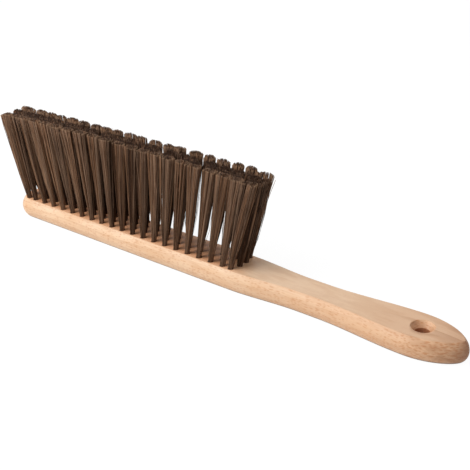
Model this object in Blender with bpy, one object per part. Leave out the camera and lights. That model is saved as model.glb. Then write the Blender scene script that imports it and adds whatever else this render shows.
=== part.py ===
# A beech hand brush for hearths and chimneys, lying on its back with the bristles up.
# One flat wooden stock is block and handle in one piece. Each tuft of brown filament is
# folded over flat steel wire in its own blind hole. The tufts of a rank share a slice of
# the block, let into its face, and the wires of a row are one length in a kerf below.
# Metres, +Z up, +X to the handle. The origin is on the stock's flat back, halfway along.
import math

import bmesh
import bpy
from mathutils import Matrix, Vector

# Driving dimensions of the stock, in metres.
STOCK_LENGTH = 0.368
STOCK_THICKNESS = 0.0143
# How far the rounded sides stand out past the edges of the flat faces.
SIDE_BULGE = 0.0033
BLOCK_WIDTH = 0.0332
# How far the block's round end reaches along it.
BLOCK_END_RADIUS = 0.0164

# The handle's stations are measured back from its tip.
TIP_TO_NECK_END = 0.096
TIP_TO_WIDEST_GRIP = 0.0335
NECK_LENGTH = 0.014
NECK_WIDTH = 0.0258
GRIP_WIDTH = 0.0350
# How far along each side and across the nose the tip's curve is drawn out.
TIP_SIDE_SHARE = 0.57
TIP_NOSE_SHARE = 0.32

# The hang hole and its countersinks.
TIP_TO_HANG_HOLE = 0.0295
HANG_BORE = 0.0094
HANG_RIM = 0.0156
HANG_SINK_DEPTH = 0.0041

# The tuft pattern: two outer and two inner rows, each staggered against the next.
RANKS = 19
ROWS = 4
PITCH = 0.010
END_TO_FIRST_RANK = 0.0191
LAST_RANK_TO_SHOULDER = 0.0069
OUTER_ROW_TO_EDGE = 0.00625
# Every second row stands this share of a pitch further on.
STAGGER_SHARE = 0.5
# The tufts that close each row stand this share of a pitch beyond the first and last rank.
OUTER_CLOSING_SHARE = 0.68
INNER_CLOSING_SHARE = 0.90

# One tuft. It stays tight for a little way above the block before its strands part.
TUFT_HOLE_DEPTH = 0.010
TUFT_ROOT_DIAMETER = 0.0040
TUFT_NECK_HEIGHT = 0.0020
TUFT_TIP_LENGTH = 0.0100
STRANDS_PER_TUFT = 6
STRAND_TIP_SHARE = 0.84

# The trim: its height above the block at the middle, how far it falls to the end ranks,
# its width across all the rows, and the gap that it leaves between two rows' tufts.
TRIM_HEIGHT = 0.0650
TRIM_END_DROP = 0.0015
TRIM_WIDTH = 0.0236
TIP_GAP = 0.0005
# Outward lean of the tips at the first rank and at the last. The closing tufts' tips
# stand one step beyond those of that rank.
FIRST_RANK_LEAN = 0.0155
LAST_RANK_LEAN = 0.0105
FIRST_CLOSING_STEP = 0.0102
LAST_CLOSING_STEP = 0.0100

# The flat steel wire that anchors the folds, and what passes under it.
WIRE_THICKNESS = 0.0005
WIRE_HEIGHT = 0.0020
WIRE_TAIL = 0.0004
FOLD_THICKNESS = 0.0012

# The slices of the block that carry the ranks, and the wood left round their tufts.
SLICE_THICKNESS = 0.0030
BED_MARGIN = 0.00035
# Where a slice ends, as a share of a pitch past its rank, and past the outermost ranks.
SLICE_END_SHARE = 0.75
CLOSING_SLICE_SHARE = 0.34

# The gap between touching pieces, and how far a cutter runs past the face it cuts.
CLEARANCE = 0.0003
OVERRUN = 0.001

# Counts of facets, and the angle past which a corner is shaded sharp.
END_STEPS = 8
BLEND_STEPS = 8
TIP_STEPS = 10
SIDE_STEPS = 8
HOLE_SIDES = 8
HANG_SIDES = 24
SHARP_ANGLE = math.radians(35)

# Values that follow from the sizes above.
BLOCK_END_X = -STOCK_LENGTH / 2
TIP_X = STOCK_LENGTH / 2
NECK_END_X = TIP_X - TIP_TO_NECK_END
NECK_START_X = NECK_END_X - NECK_LENGTH
GRIP_X = TIP_X - TIP_TO_WIDEST_GRIP
HANG_X = TIP_X - TIP_TO_HANG_HOLE
FIRST_RANK_X = BLOCK_END_X + END_TO_FIRST_RANK
PATTERN_HALF_LENGTH = PITCH * (RANKS - 1) / 2
PATTERN_X = FIRST_RANK_X + PATTERN_HALF_LENGTH
SHOULDER_X = PATTERN_X + PATTERN_HALF_LENGTH + LAST_RANK_TO_SHOULDER
OUTER_ROW_Y = BLOCK_WIDTH / 2 - OUTER_ROW_TO_EDGE
ROW_STEP = 2 * OUTER_ROW_Y / (ROWS - 1)
ROWS_Y = [-OUTER_ROW_Y + ROW_STEP * row for row in range(ROWS)]
TIP_ROW_STEP = TRIM_WIDTH / ROWS
TIP_ROWS_Y = [TIP_ROW_STEP * (row - (ROWS - 1) / 2) for row in range(ROWS)]
# The strands draw in from a tuft's corners, so a tuft may be this much wider than its row.
TUFT_TIP_WIDTH = (TIP_ROW_STEP - TIP_GAP) * 2 / (1 + STRAND_TIP_SHARE)
ROOT_RADIUS = TUFT_ROOT_DIAMETER / 2
HOLE_RADIUS = (ROOT_RADIUS + CLEARANCE) / math.cos(math.pi / HOLE_SIDES)
HOLE_BOTTOM_Z = STOCK_THICKNESS - TUFT_HOLE_DEPTH
ROOT_BOTTOM_Z = HOLE_BOTTOM_Z + CLEARANCE
WIRE_BOTTOM_Z = ROOT_BOTTOM_Z + FOLD_THICKNESS + CLEARANCE
SLICE_TOP_Z = STOCK_THICKNESS - CLEARANCE
SLICE_BOTTOM_Z = SLICE_TOP_Z - SLICE_THICKNESS
POCKET_FLOOR_Z = SLICE_BOTTOM_Z - CLEARANCE


def clear_scene():
    """Empty the scene without closing the file that this runs from."""
    for old in list(bpy.data.objects):
        bpy.data.objects.remove(old, do_unlink=True)


def material(name, colour, roughness, metallic):
    """A plain Principled material."""
    made = bpy.data.materials.new(name)
    made.use_nodes = True
    shader = made.node_tree.nodes["Principled BSDF"]
    shader.inputs["Base Color"].default_value = (*colour, 1.0)
    shader.inputs["Roughness"].default_value = roughness
    shader.inputs["Metallic"].default_value = metallic
    made.diffuse_color = (*colour, 1.0)
    return made


def finished_object(name, bm, surface, location):
    """Make an object of a bmesh whose points are relative to the given location."""
    bmesh.ops.recalc_face_normals(bm, faces=bm.faces[:])
    mesh = bpy.data.meshes.new(name)
    bm.to_mesh(mesh)
    bm.free()
    made = bpy.data.objects.new(name, mesh)
    made.location = location
    bpy.context.scene.collection.objects.link(made)
    if surface:
        mesh.materials.append(surface)
    return made


def ease(share):
    """A smooth step from 0 to 1."""
    return share * share * (3 - 2 * share)


def mix(start, end, share):
    return start + (end - start) * share


def side_points(inset):
    """Points (x, half width) along one side of the stock, from the block's end to the tip.

    The block's end is a half ellipse as wide as the block. The inset pulls the whole
    outline in, so one function draws every ring of the edges.
    """
    block = BLOCK_WIDTH / 2 - inset
    neck = NECK_WIDTH / 2 - inset
    grip = GRIP_WIDTH / 2 - inset
    end = BLOCK_END_RADIUS - inset
    tip = TIP_X - inset
    points = []
    for step in range(END_STEPS + 1):
        angle = math.pi / 2 * step / END_STEPS
        x = BLOCK_END_X + inset + end * (1 - math.cos(angle))
        points.append((x, block * math.sin(angle)))
    for start_x, end_x, start, end in (
        (SHOULDER_X, NECK_START_X, block, neck),
        (NECK_END_X, GRIP_X, neck, grip),
    ):
        for step in range(BLEND_STEPS + 1):
            share = step / BLEND_STEPS
            points.append((mix(start_x, end_x, share), mix(start, end, ease(share))))
    reach = tip - GRIP_X
    for step in range(1, TIP_STEPS + 1):
        share = step / TIP_STEPS
        rest = 1 - share
        x = GRIP_X + reach * (3 * share * rest**2 * TIP_SIDE_SHARE + 3 * share**2 * rest + share**3)
        half = grip * (rest**3 + 3 * share * rest**2 + 3 * share**2 * rest * TIP_NOSE_SHARE)
        points.append((x, half))
    return points


def stock_ring(bm, inset, z):
    """One closed ring of vertices round the stock at a height."""
    side = side_points(inset)
    near = [bm.verts.new((x, -half, z)) for x, half in side]
    far = [bm.verts.new((x, half, z)) for x, half in reversed(side[1:-1])]
    return near + far


def stock_body():
    """The stock without its holes: rings up its side, which is one arc from face to face."""
    bm = bmesh.new()
    middle = STOCK_THICKNESS / 2
    radius = (middle**2 + SIDE_BULGE**2) / (2 * SIDE_BULGE)
    most = math.asin(middle / radius)
    rings = []
    for step in range(SIDE_STEPS + 1):
        angle = mix(-most, most, step / SIDE_STEPS)
        inset = radius * (1 - math.cos(angle))
        rings.append(stock_ring(bm, inset, middle + radius * math.sin(angle)))
    for lower, upper in zip(rings, rings[1:]):
        count = len(lower)
        for index in range(count):
            after = (index + 1) % count
            bm.faces.new((lower[index], lower[after], upper[after], upper[index]))
    bm.faces.new(list(reversed(rings[0])))
    bm.faces.new(rings[-1])
    return bm


def hang_hole_cutter():
    """A turned cutter for the hang hole, countersunk from both faces."""
    bore = HANG_BORE / 2
    rim = HANG_RIM / 2
    # The cone carries on past each face at its own slope.
    past = rim + (rim - bore) * OVERRUN / HANG_SINK_DEPTH
    profile = [
        (past, -OVERRUN),
        (bore, HANG_SINK_DEPTH),
        (bore, STOCK_THICKNESS - HANG_SINK_DEPTH),
        (past, STOCK_THICKNESS + OVERRUN),
    ]
    bm = bmesh.new()
    line = [bm.verts.new((radius, 0, z)) for radius, z in profile]
    edges = [bm.edges.new(pair) for pair in zip(line, line[1:])]
    bmesh.ops.spin(
        bm,
        geom=line + edges,
        cent=(0, 0, 0),
        axis=(0, 0, 1),
        angle=math.tau,
        steps=HANG_SIDES,
        use_merge=True,
    )
    bmesh.ops.holes_fill(bm, edges=bm.edges[:], sides=HANG_SIDES)
    return finished_object("hang_hole_cutter", bm, None, (HANG_X, 0, 0))


def closing_x(side, row):
    """Where the tuft that closes a row stands, at the block's end (-1) or the handle (1)."""
    outer = row in (0, ROWS - 1)
    share = OUTER_CLOSING_SHARE if outer else INNER_CLOSING_SHARE
    return PATTERN_X + side * (PATTERN_HALF_LENGTH + share * PITCH)


def fan_x(x):
    """Where a tuft's tips stand, for a tuft rooted at x.

    The lean grows evenly to the handle, and levels off to the block's end.
    """
    share = (x - PATTERN_X) / PATTERN_HALF_LENGTH
    if share > 0:
        return x + LAST_RANK_LEAN * share
    return x + FIRST_RANK_LEAN * math.sin(math.pi / 2 * share)


def trim_z(x):
    """How high a tuft's tips stand, for a tuft rooted at x."""
    share = (x - PATTERN_X) / PATTERN_HALF_LENGTH
    return STOCK_THICKNESS + TRIM_HEIGHT - TRIM_END_DROP * share**2


def tuft_places():
    """Ranks of tufts, each a list of (x, y, tip), from the block's end on."""

    def place(x, row, tip_x):
        return x, ROWS_Y[row], Vector((tip_x, TIP_ROWS_Y[row], trim_z(x)))

    def closing_rank(side):
        step = LAST_CLOSING_STEP if side > 0 else FIRST_CLOSING_STEP
        tip_x = fan_x(PATTERN_X + side * PATTERN_HALF_LENGTH) + side * step
        return [place(closing_x(side, row), row, tip_x) for row in range(ROWS)]

    ranks = [closing_rank(-1)]
    for rank in range(RANKS):
        places = []
        for row in range(ROWS):
            staggered = row % 2 == 1
            if staggered and rank == RANKS - 1:
                continue
            x = FIRST_RANK_X + PITCH * (rank + staggered * STAGGER_SHARE)
            places.append(place(x, row, fan_x(x)))
        ranks.append(places)
    ranks.append(closing_rank(1))
    return ranks


def prism(bm, outline, low, high):
    """An upright prism over an outline of (x, y) points."""
    base = bm.faces.new([bm.verts.new((x, y, low)) for x, y in outline])
    top = bmesh.ops.extrude_face_region(bm, geom=[base])["geom"]
    for item in top:
        if isinstance(item, bmesh.types.BMVert):
            item.co.z = high


def bed_end(side, grow):
    """The tufted bed's outline round one end, from -Y to +Y, grown by a gap.

    Its corners are cut along the line that touches the outer and the inner closing tuft.
    """
    reach = ROOT_RADIUS + BED_MARGIN + grow
    outer = Vector((closing_x(side, ROWS - 1), ROWS_Y[-1]))
    inner = Vector((closing_x(side, ROWS - 2), ROWS_Y[-2]))
    along = (inner - outer).normalized()
    across = Vector((side * abs(along.y), abs(along.x)))
    start = outer + across * reach
    side_y = OUTER_ROW_Y + reach
    end_x = inner.x + side * reach
    corner_x = start.x + along.x * (side_y - start.y) / along.y
    corner_y = start.y + along.y * (end_x - start.x) / along.x
    return [(corner_x, -side_y), (end_x, -corner_y), (end_x, corner_y), (corner_x, side_y)]


def slice_outlines():
    """The outline of each rank's slice, a clearance apart, with the bed's cut ends."""
    half_gap = CLEARANCE / 2
    side_y = OUTER_ROW_Y + ROOT_RADIUS + BED_MARGIN
    edges = [FIRST_RANK_X - CLOSING_SLICE_SHARE * PITCH]
    edges += [FIRST_RANK_X + PITCH * (rank + SLICE_END_SHARE) for rank in range(RANKS - 1)]
    edges.append(PATTERN_X + PATTERN_HALF_LENGTH + CLOSING_SLICE_SHARE * PITCH)
    first = edges[0] - half_gap
    outlines = [[(first, -side_y), *bed_end(-1, 0), (first, side_y)]]
    for left, right in zip(edges, edges[1:]):
        low, high = left + half_gap, right - half_gap
        outlines.append([(low, -side_y), (high, -side_y), (high, side_y), (low, side_y)])
    last = edges[-1] + half_gap
    outlines.append([(last, -side_y), *bed_end(1, 0), (last, side_y)])
    return outlines


def bed_pocket_cutter():
    """The pocket in the block's face that the slices lie in."""
    bm = bmesh.new()
    outline = bed_end(1, CLEARANCE) + list(reversed(bed_end(-1, CLEARANCE)))
    prism(bm, outline, POCKET_FLOOR_Z, STOCK_THICKNESS + OVERRUN)
    return finished_object("bed_pocket_cutter", bm, None, (0, 0, 0))


def tuft_hole_cutter(ranks):
    """All the blind holes below the pocket as one cutter of separate prisms."""
    bm = bmesh.new()
    depth = POCKET_FLOOR_Z + OVERRUN - HOLE_BOTTOM_Z
    for x, y, _ in (place for rank in ranks for place in rank):
        bmesh.ops.create_cone(
            bm,
            cap_ends=True,
            segments=HOLE_SIDES,
            radius1=HOLE_RADIUS,
            radius2=HOLE_RADIUS,
            depth=depth,
            matrix=Matrix.Translation((x, y, HOLE_BOTTOM_Z + depth / 2)),
        )
    return finished_object("tuft_hole_cutter", bm, None, (0, 0, 0))


def add_bar(bm, start_x, end_x, middle_y, width, low, high):
    """A straight bar along X."""
    near, far = middle_y - width / 2, middle_y + width / 2
    prism(bm, [(start_x, near), (end_x, near), (end_x, far), (start_x, far)], low, high)


def wire_ends(row):
    """Where a row's wire starts and ends: just past the roots of its closing tufts."""
    tail = ROOT_RADIUS + WIRE_TAIL
    return closing_x(-1, row) - tail, closing_x(1, row) + tail


def wire_kerf_cutter():
    """One kerf below the pocket for each row's wire."""
    bm = bmesh.new()
    for row, y in enumerate(ROWS_Y):
        start_x, end_x = wire_ends(row)
        add_bar(
            bm,
            start_x - CLEARANCE,
            end_x + CLEARANCE,
            y,
            WIRE_THICKNESS + 2 * CLEARANCE,
            WIRE_BOTTOM_Z - CLEARANCE,
            POCKET_FLOOR_Z + OVERRUN,
        )
    return finished_object("wire_kerf_cutter", bm, None, (0, 0, 0))


def add_boolean(piece, other, operation):
    """Cut or join a hidden helper with a Boolean that stays on the piece."""
    other.hide_render = True
    other.display_type = "WIRE"
    boolean = piece.modifiers.new(other.name, "BOOLEAN")
    boolean.operation = operation
    boolean.solver = "EXACT"
    boolean.material_mode = "TRANSFER"
    boolean.object = other


def shade_round(piece):
    """Smooth shading that keeps the piece's real corners sharp."""
    piece.data.shade_smooth()
    piece.data.set_sharp_from_angle(angle=SHARP_ANGLE)


def make_stock(ranks, wood):
    """The one wooden piece: block, neck, grip, hang hole, bed pocket, holes and kerfs."""
    stock = finished_object("stock", stock_body(), wood, (0, 0, 0))
    add_boolean(stock, bed_pocket_cutter(), "DIFFERENCE")
    add_boolean(stock, tuft_hole_cutter(ranks), "DIFFERENCE")
    add_boolean(stock, wire_kerf_cutter(), "DIFFERENCE")
    add_boolean(stock, hang_hole_cutter(), "DIFFERENCE")
    shade_round(stock)


def open_wire_window(bm, walls, middle_y):
    """Open a window through a root, from end to end of the row, where its fold holds the wire."""
    through = sorted(walls, key=lambda wall: abs(wall.normal.x))[-2:]
    half_width = WIRE_THICKNESS / 2 + CLEARANCE
    bmesh.ops.inset_individual(bm, faces=through, thickness=half_width)
    low = WIRE_BOTTOM_Z - CLEARANCE
    high = WIRE_BOTTOM_Z + WIRE_HEIGHT + CLEARANCE
    middle_z = through[0].calc_center_median().z
    edges = []
    for wall in through:
        for vert in wall.verts:
            vert.co.y = middle_y + math.copysign(half_width, vert.co.y - middle_y)
            vert.co.z = high if vert.co.z > middle_z else low
        edges += wall.edges[:]
    bmesh.ops.delete(bm, geom=through, context="FACES_ONLY")
    bmesh.ops.bridge_loops(bm, edges=edges)


def add_tuft(bm, centre, tip):
    """One tuft: a folded root in its hole and strands that flare from its neck to the trim.

    The strands are fused at the neck and part from there on, so none crosses another.
    """
    rim_verts = bmesh.ops.create_circle(
        bm,
        cap_ends=True,
        cap_tris=True,
        segments=STRANDS_PER_TUFT,
        radius=ROOT_RADIUS,
        matrix=Matrix.Translation(centre),
    )["verts"]
    bases = list({face for vert in rim_verts for face in vert.link_faces})
    rim = list({edge for face in bases for edge in face.edges if len(edge.link_faces) == 1})
    skirt = bmesh.ops.extrude_edge_only(bm, edges=rim)["geom"]
    lower = [item for item in skirt if isinstance(item, bmesh.types.BMVert)]
    walls = [item for item in skirt if isinstance(item, bmesh.types.BMFace)]
    for vert in lower:
        vert.co.z = ROOT_BOTTOM_Z
    fold = [edge for wall in walls for edge in wall.edges if all(v in lower for v in edge.verts)]
    bmesh.ops.contextual_create(bm, geom=fold)
    for wall in walls:
        wall.normal_update()
    open_wire_window(bm, walls, centre.y)

    stretch_x = TUFT_TIP_LENGTH / TUFT_ROOT_DIAMETER
    stretch_y = TUFT_TIP_WIDTH / TUFT_ROOT_DIAMETER
    for strand in bmesh.ops.extrude_discrete_faces(bm, faces=bases)["faces"]:
        middle = strand.calc_center_median()
        for vert in strand.verts:
            away = middle + (vert.co - middle) * STRAND_TIP_SHARE - centre
            vert.co = tip + Vector((away.x * stretch_x, away.y * stretch_y, 0))


def make_tuft_rank(name, places, outline, filament, wood):
    """The tufts of one rank, fused to the slice of the block that holds them."""
    rank_x = sum(place[0] for place in places) / len(places)
    origin = Vector((rank_x, 0, 0))
    neck_z = STOCK_THICKNESS + TUFT_NECK_HEIGHT
    bm = bmesh.new()
    for x, y, tip in places:
        add_tuft(bm, Vector((x, y, neck_z)) - origin, tip - origin)
    tufts = finished_object(name, bm, filament, origin)
    bm = bmesh.new()
    prism(bm, [(x - rank_x, y) for x, y in outline], SLICE_BOTTOM_Z, SLICE_TOP_Z)
    slab = finished_object(name + "_slice", bm, wood, origin)
    add_boolean(tufts, slab, "UNION")
    shade_round(tufts)


def make_row_wire(number, row, steel):
    """One row's flat wire, standing on edge in the folds of its tufts."""
    start_x, end_x = wire_ends(row)
    half_length = (end_x - start_x) / 2
    bm = bmesh.new()
    add_bar(bm, -half_length, half_length, 0, WIRE_THICKNESS, 0, WIRE_HEIGHT)
    place = ((start_x + end_x) / 2, ROWS_Y[row], WIRE_BOTTOM_Z)
    finished_object(f"anchor_wire_row_{number}", bm, steel, place)


def build():
    clear_scene()
    wood = material("beech", (0.66, 0.42, 0.25), 0.55, 0.0)
    filament = material("brown_filament", (0.075, 0.042, 0.026), 0.5, 0.0)
    steel = material("anchor_steel", (0.55, 0.55, 0.56), 0.35, 1.0)
    ranks = tuft_places()
    make_stock(ranks, wood)
    for number, (places, outline) in enumerate(zip(ranks, slice_outlines()), start=1):
        make_tuft_rank(f"tuft_rank_{number:02d}", places, outline, filament, wood)
    for row in range(ROWS):
        make_row_wire(row + 1, row, steel)


build()
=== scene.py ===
import math

import bmesh
import bpy
import numpy as np
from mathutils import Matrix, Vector


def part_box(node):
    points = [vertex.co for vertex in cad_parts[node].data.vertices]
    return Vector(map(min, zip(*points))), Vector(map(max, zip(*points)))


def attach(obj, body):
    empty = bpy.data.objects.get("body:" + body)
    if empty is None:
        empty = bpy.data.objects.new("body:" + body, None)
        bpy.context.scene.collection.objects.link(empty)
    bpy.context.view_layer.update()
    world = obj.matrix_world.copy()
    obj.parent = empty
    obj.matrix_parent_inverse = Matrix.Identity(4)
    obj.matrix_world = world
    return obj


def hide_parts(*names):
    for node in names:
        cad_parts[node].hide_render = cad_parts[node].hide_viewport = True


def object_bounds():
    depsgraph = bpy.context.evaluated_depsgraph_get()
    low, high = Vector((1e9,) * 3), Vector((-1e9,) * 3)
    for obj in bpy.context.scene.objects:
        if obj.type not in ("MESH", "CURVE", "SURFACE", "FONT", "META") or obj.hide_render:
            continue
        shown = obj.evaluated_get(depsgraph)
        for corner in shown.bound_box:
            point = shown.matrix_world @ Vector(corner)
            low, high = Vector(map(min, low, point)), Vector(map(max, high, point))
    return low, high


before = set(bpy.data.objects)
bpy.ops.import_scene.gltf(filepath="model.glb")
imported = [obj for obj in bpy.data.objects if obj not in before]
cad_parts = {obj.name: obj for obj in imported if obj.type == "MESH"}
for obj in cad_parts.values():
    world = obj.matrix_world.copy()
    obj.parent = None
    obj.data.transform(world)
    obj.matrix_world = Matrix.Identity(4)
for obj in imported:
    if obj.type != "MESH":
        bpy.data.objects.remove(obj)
CAD_LOW, CAD_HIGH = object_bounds()

MM = 0.001

# The photograph's camera.
CAMERA_PLACE = Vector((349.7, -434.2, 293.5)) * MM
CAMERA_TARGET = Vector((17.5, 0.0, 33.1)) * MM
CAMERA_LENS = 71.2
CAMERA_SENSOR = 36.0

# The stock's outline, as the frame's box and the handle's stations give it.
STOCK_LOW, STOCK_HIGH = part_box("stock")
STOCK_TOP = STOCK_HIGH.z
BLOCK_END_X = STOCK_LOW.x
NOSE_END_X = STOCK_HIGH.x
GRIP_HALF = STOCK_HIGH.y
# How far the rounded sides stand out past the flat faces.
SIDE_BULGE = 3.3 * MM
CORNER_ROUND = 0.35 * MM
BLOCK_HALF = 16.6 * MM
BLOCK_END_REACH = 16.4 * MM
NECK_HALF = 12.9 * MM
NECK_END_X = NOSE_END_X - 96.0 * MM
NECK_START_X = NECK_END_X - 14.0 * MM
GRIP_X = NOSE_END_X - 33.5 * MM
# How far the nose's curve runs on along the side, and how far across at its front.
NOSE_SIDE_SHARE = 0.57
NOSE_FRONT_SHARE = 0.32
END_STEPS = 18
BLEND_STEPS = 22
NECK_STEPS = 4
BLOCK_STEPS = 30
NOSE_STEPS = 22
SIDE_STEPS = 7
CORNER_STEPS = 3
# A face counts as level where its normal stands up by more than this.
LEVEL_NORMAL = 0.9
SMOOTH_ANGLE = math.radians(38)
FLAT_FACE_WEIGHT = 100

# The hang hole: a bore between two countersinks with a softened rim.
HANG_X = NOSE_END_X - 29.5 * MM
HANG_BORE = 4.7 * MM
HANG_RIM = 7.35 * MM
HANG_SINK_DEPTH = 4.1 * MM
HANG_RIM_ROUND = 0.45 * MM
# Points round the rim and the bore's edge, out and up, as shares of the rim's round.
HANG_RIM_SHARES = ((2.2, 0.30), (0.9, 0.0), (0.45, -0.10), (0.05, -0.34))
HANG_FLANK_SHARE = 0.55
HANG_BORE_SHARES = ((0.35, 0.30), (0.08, -0.05), (0.0, -0.5))
HANG_SIDES = 72
BORE_EDGE_SHARE = 0.3

# The tuft pattern, rooted as the solids have it. Rank 1 closes the rows at the block's
# end, and the last rank closes them at the handle.
RANKS = 19
LAST_RANK = RANKS + 2
ROWS = 4
OUTER_ROWS = (0, ROWS - 1)
PITCH = 10.0 * MM
FIRST_RANK_X = BLOCK_END_X + 19.1 * MM
HALF_PATTERN = PITCH * (RANKS - 1) / 2
PATTERN_X = FIRST_RANK_X + HALF_PATTERN
SHOULDER_X = PATTERN_X + HALF_PATTERN + 6.9 * MM
OUTER_ROW_Y = BLOCK_HALF - 6.25 * MM
ROW_STEP = 2 * OUTER_ROW_Y / (ROWS - 1)
ROWS_Y = [-OUTER_ROW_Y + ROW_STEP * row for row in range(ROWS)]
STAGGER_SHARE = 0.5
OUTER_CLOSING_SHARE = 0.68
INNER_CLOSING_SHARE = 0.90
# By row, from the near one on: the far rows lean a little more to the handle.
FIRST_RANK_LEANS = (15.5 * MM, 14.0 * MM, 13.5 * MM, 12.0 * MM)
LAST_RANK_LEANS = (10.5 * MM, 13.0 * MM, 13.0 * MM, 15.5 * MM)
FIRST_CLOSING_STEP = 10.2 * MM
LAST_CLOSING_STEPS = (10.0 * MM, 6.5 * MM, 8.0 * MM, 4.2 * MM)
TRIM_TOP = CAD_HIGH.z
TRIM_END_DROP = 1.5 * MM
TRIM_WIDTH = 23.6 * MM
TIP_ROW_STEP = TRIM_WIDTH / ROWS
FAR_ROW_SPLAY = 1.0 * MM
TIP_ROWS_Y = [TIP_ROW_STEP * (row - (ROWS - 1) / 2) for row in range(ROWS)]
TIP_ROWS_Y[-1] += FAR_ROW_SPLAY
# How far single tufts stand off from their rank's lean, by row and rank.
TIP_SHIFTS = {
    (0, 2): 0.8 * MM,
    (0, 3): -0.8 * MM,
    (0, 14): -0.5 * MM,
    (0, 15): -0.5 * MM,
    (0, 17): -0.3 * MM,
    (0, 18): 0.8 * MM,
    (0, 19): 1.0 * MM,
    (1, 1): 3.5 * MM,
    (1, 12): 2.5 * MM,
    (1, 13): -2.0 * MM,
    (1, 14): -1.5 * MM,
    (1, 15): 2.5 * MM,
    (1, 16): -2.0 * MM,
    (2, 1): -3.5 * MM,
    (2, 12): 2.5 * MM,
    (2, 13): -2.0 * MM,
    (2, 14): 1.5 * MM,
    (2, 15): 2.5 * MM,
    (2, 16): -2.0 * MM,
    (2, 17): 2.5 * MM,
    (2, 18): 1.5 * MM,
    (3, 4): -1.0 * MM,
    (3, 5): -0.5 * MM,
    (3, 6): 1.0 * MM,
    (3, 7): 2.2 * MM,
    (3, 10): -1.4 * MM,
    (3, 11): -3.2 * MM,
    (3, 12): -0.4 * MM,
    (3, 14): -3.1 * MM,
    (3, 15): -0.4 * MM,
    (3, 16): -0.5 * MM,
    (3, 17): 0.3 * MM,
    (3, 19): -2.4 * MM,
}
# How much longer single tufts are than their rank's trim, by row and rank.
TIP_LIFTS = {(3, 1): 0.7 * MM, (3, 2): 0.5 * MM, (3, 3): 0.3 * MM, (3, LAST_RANK): -1.0 * MM}

# One tuft and its hole.
HOLE_RADIUS = 1.95 * MM
HOLE_DEPTH = 10.0 * MM
HOLE_CHAMFER = 0.25 * MM
HOLE_SIDES = 20
ROOT_RADIUS = 1.62 * MM
END_ROOT_RADIUS = 1.85 * MM
FOLD_Z = STOCK_TOP - 8.2 * MM
# Each tuple of four has a value for each row, from the near one to the far one.
# A head's half length along its row, and how square it is.
HEAD_HALF_LENGTHS = (5.0 * MM, 5.7 * MM, 5.7 * MM, 5.8 * MM)
HEAD_HALF_WIDTH = 3.2 * MM
HEAD_SQUARE_SHARES = (0.85, 0.50, 0.50, 0.0)
# Heads that are wider or slimmer than their row's, by row and rank.
HEAD_TIMES = {
    (3, 12): 1.10,
    (3, 13): 1.10,
    (3, 14): 0.92,
    (3, 15): 1.12,
    (3, 17): 0.90,
    (3, 18): 0.80,
    (3, 19): 0.85,
}
# How far heads are shaken off their places, how much their sizes vary, and how much they
# turn, in radians.
HEAD_SHAKES = (0.35 * MM, 0.8 * MM, 0.8 * MM, 0.6 * MM)
HEAD_SHAKE_SHARES = (1.0, 0.5)
HEAD_SIZE_SPREAD = 0.06
HEAD_TURN_SPREAD = 0.12
# How much lower a head's rim is than its middle, and how unevenly it is cut.
CROWNS = (0.4 * MM, 0.8 * MM, 0.9 * MM, 1.6 * MM)
CROWN_POWER = 1.5
RAGGED = (0.22 * MM, 0.40 * MM, 0.40 * MM, 0.34 * MM)
# How steeply the trim falls off on the outer side of the first rank's heads.
END_TIP_SLOPES = (0.35, 0.0, 0.0, 0.0)
INNER_ROW_DROP = 0.8 * MM
# Below 1, the strands lean out early on their way up, and above 1, late.
FLARE_POWERS = (0.98, 0.82, 0.82, 0.90)
FIRST_CLOSING_POWERS = (0.98, 0.66, 0.56, 0.70)
LAST_CLOSING_POWERS = (0.98, 0.90, 1.0, 1.2)
# The tufts that close the rows are splayed wider than the rest.
CLOSING_TIMES = (1.2, 1.2, 1.2, 1.5)

# The strands of a tuft, which cling together in locks.
STRANDS = 260
STRAND_RADIUS = 0.15 * MM
THINNEST_SHARE = 0.8
THICKEST_SHARE = 1.2
STRAND_SIDES = 4
# Heights of a strand's rings, as shares of its way from the wood to its cut end.
STRAND_RING_SHARES = (0.0, 0.3, 0.62, 0.86, 1.0)
LOCKS = 13
LOCK_DISC_SHARE = 0.85
LOCK_PULL_SHARE = 0.32
GOLDEN_ANGLE = math.pi * (3 - math.sqrt(5))
DISC_SHAKE_SHARE = 0.03
SMALLEST = 1e-6
TIP_SHAKE = 0.12 * MM
STRAND_BOW = 0.25 * MM
BOW_POWER = 0.8
END_BOW_TIMES = (1.0, 2.6, 2.6, 2.6)
HANDLE_BOW_TIMES = (1.5, 1.5, 1.5, 1.2)
STRAY_SHARE = 0.02
HANDLE_STRAY_SHARE = 0.10
STRAY_REACH = 1.3 * MM
STRAY_DROP = 3.0 * MM
STRAY_MORE_BOW = 3.0

# The strands' tones, from 0, dark, to 1, light, and their warmth, from 0, cool, to 1.
TONE_MIDDLE = 0.54
STRAND_TONE_SPREAD = 0.29
LOCK_TONE_SPREAD = 0.18
TUFT_TONE_SPREAD = 0.05
# Painted light and shade: the inner rows, which the outer ones shade, are darker and the outer rows
# lighter, and strands inside a tuft are darker, as its many filaments would shade them.
ROW_LIGHT_AND_SHADE_TONES = (0.06, -0.29, -0.29, 0.10)
INSIDE_SHADE_TONE = -0.34
INSIDE_SHADE_AREA_SHARE = 0.7
# Where the painted highlight on the outer rows' cut ends begins.
RIM_HIGHLIGHT_AREA_SHARE = 0.62
# From here to the handle, the tones vary less.
CALM_FROM_X = FIRST_RANK_X + 14.2 * PITCH
CALM_TONE_TIMES = 0.65
WARMTH_MIDDLE = 0.5
STRAND_WARMTH_SPREAD = 0.22
LOCK_WARMTH_SPREAD = 0.15

# The wood's grain: noise in waves to the metre along, across and up, and growth bands.
GRAIN_DRIFT_SCALE = (9.0, 40.0, 40.0)
GRAIN_DRIFT = (0.0, 16.0 * MM, 16.0 * MM)
GRAIN_TILT = (math.radians(24), math.radians(1.6), math.radians(0.8))
BAND_SCALE = 62.0
FIBRE_SCALE = (70.0, 1900.0, 1900.0)
MOTTLE_SCALE = (38.0, 120.0, 150.0)
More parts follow.
